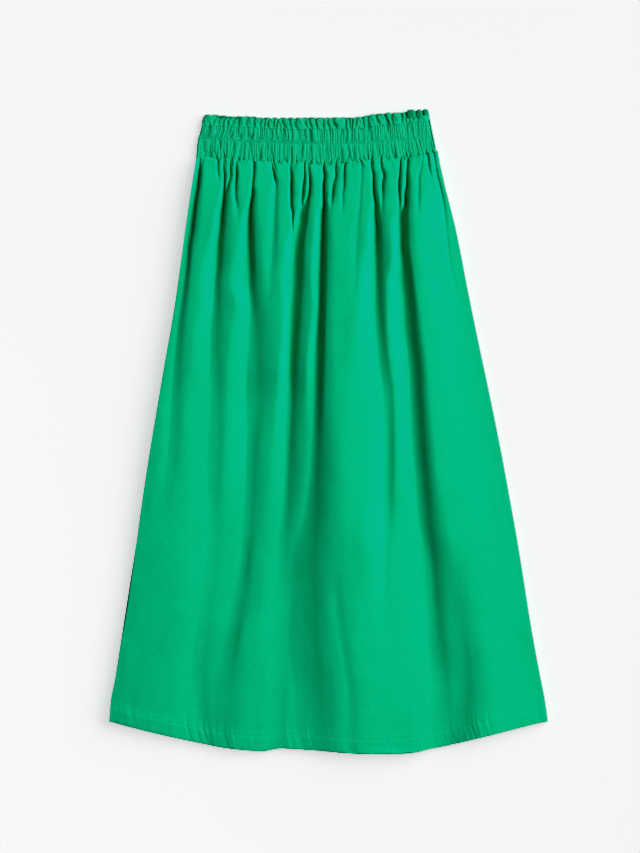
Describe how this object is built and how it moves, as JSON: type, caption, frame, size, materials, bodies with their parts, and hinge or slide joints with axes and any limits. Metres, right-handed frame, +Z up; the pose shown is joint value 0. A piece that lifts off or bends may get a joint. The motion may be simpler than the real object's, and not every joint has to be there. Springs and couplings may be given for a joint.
{
  "type": "a-line skirt",
  "caption": "Pull-on A-line skirt with an elasticated paper-bag waist, gathered panels and a turned hem, laid flat.",
  "frame": {"origin": "middle of the skirt's outline, on the surface it lies on", "axes": "+Y from the hem to the waist, +Z up out of the surface, towards the front of the skirt, +X to the right as the front is seen"},
  "size_m": [0.59, 0.8654, 0.0142],
  "materials": {
    "panel_cotton": "matte plain-weave cotton",
    "waistband_cotton": "matte plain-weave cotton, smocked over elastic",
    "frill_cotton": "matte plain-weave cotton, folded double"
  },
  "bodies": {
    "root": {"front_panel": "panel_cotton", "back_panel": "panel_cotton", "front_waistband": "waistband_cotton", "back_waistband": "waistband_cotton", "front_frill": "frill_cotton", "back_frill": "frill_cotton"}
  },
  "joints": []
}
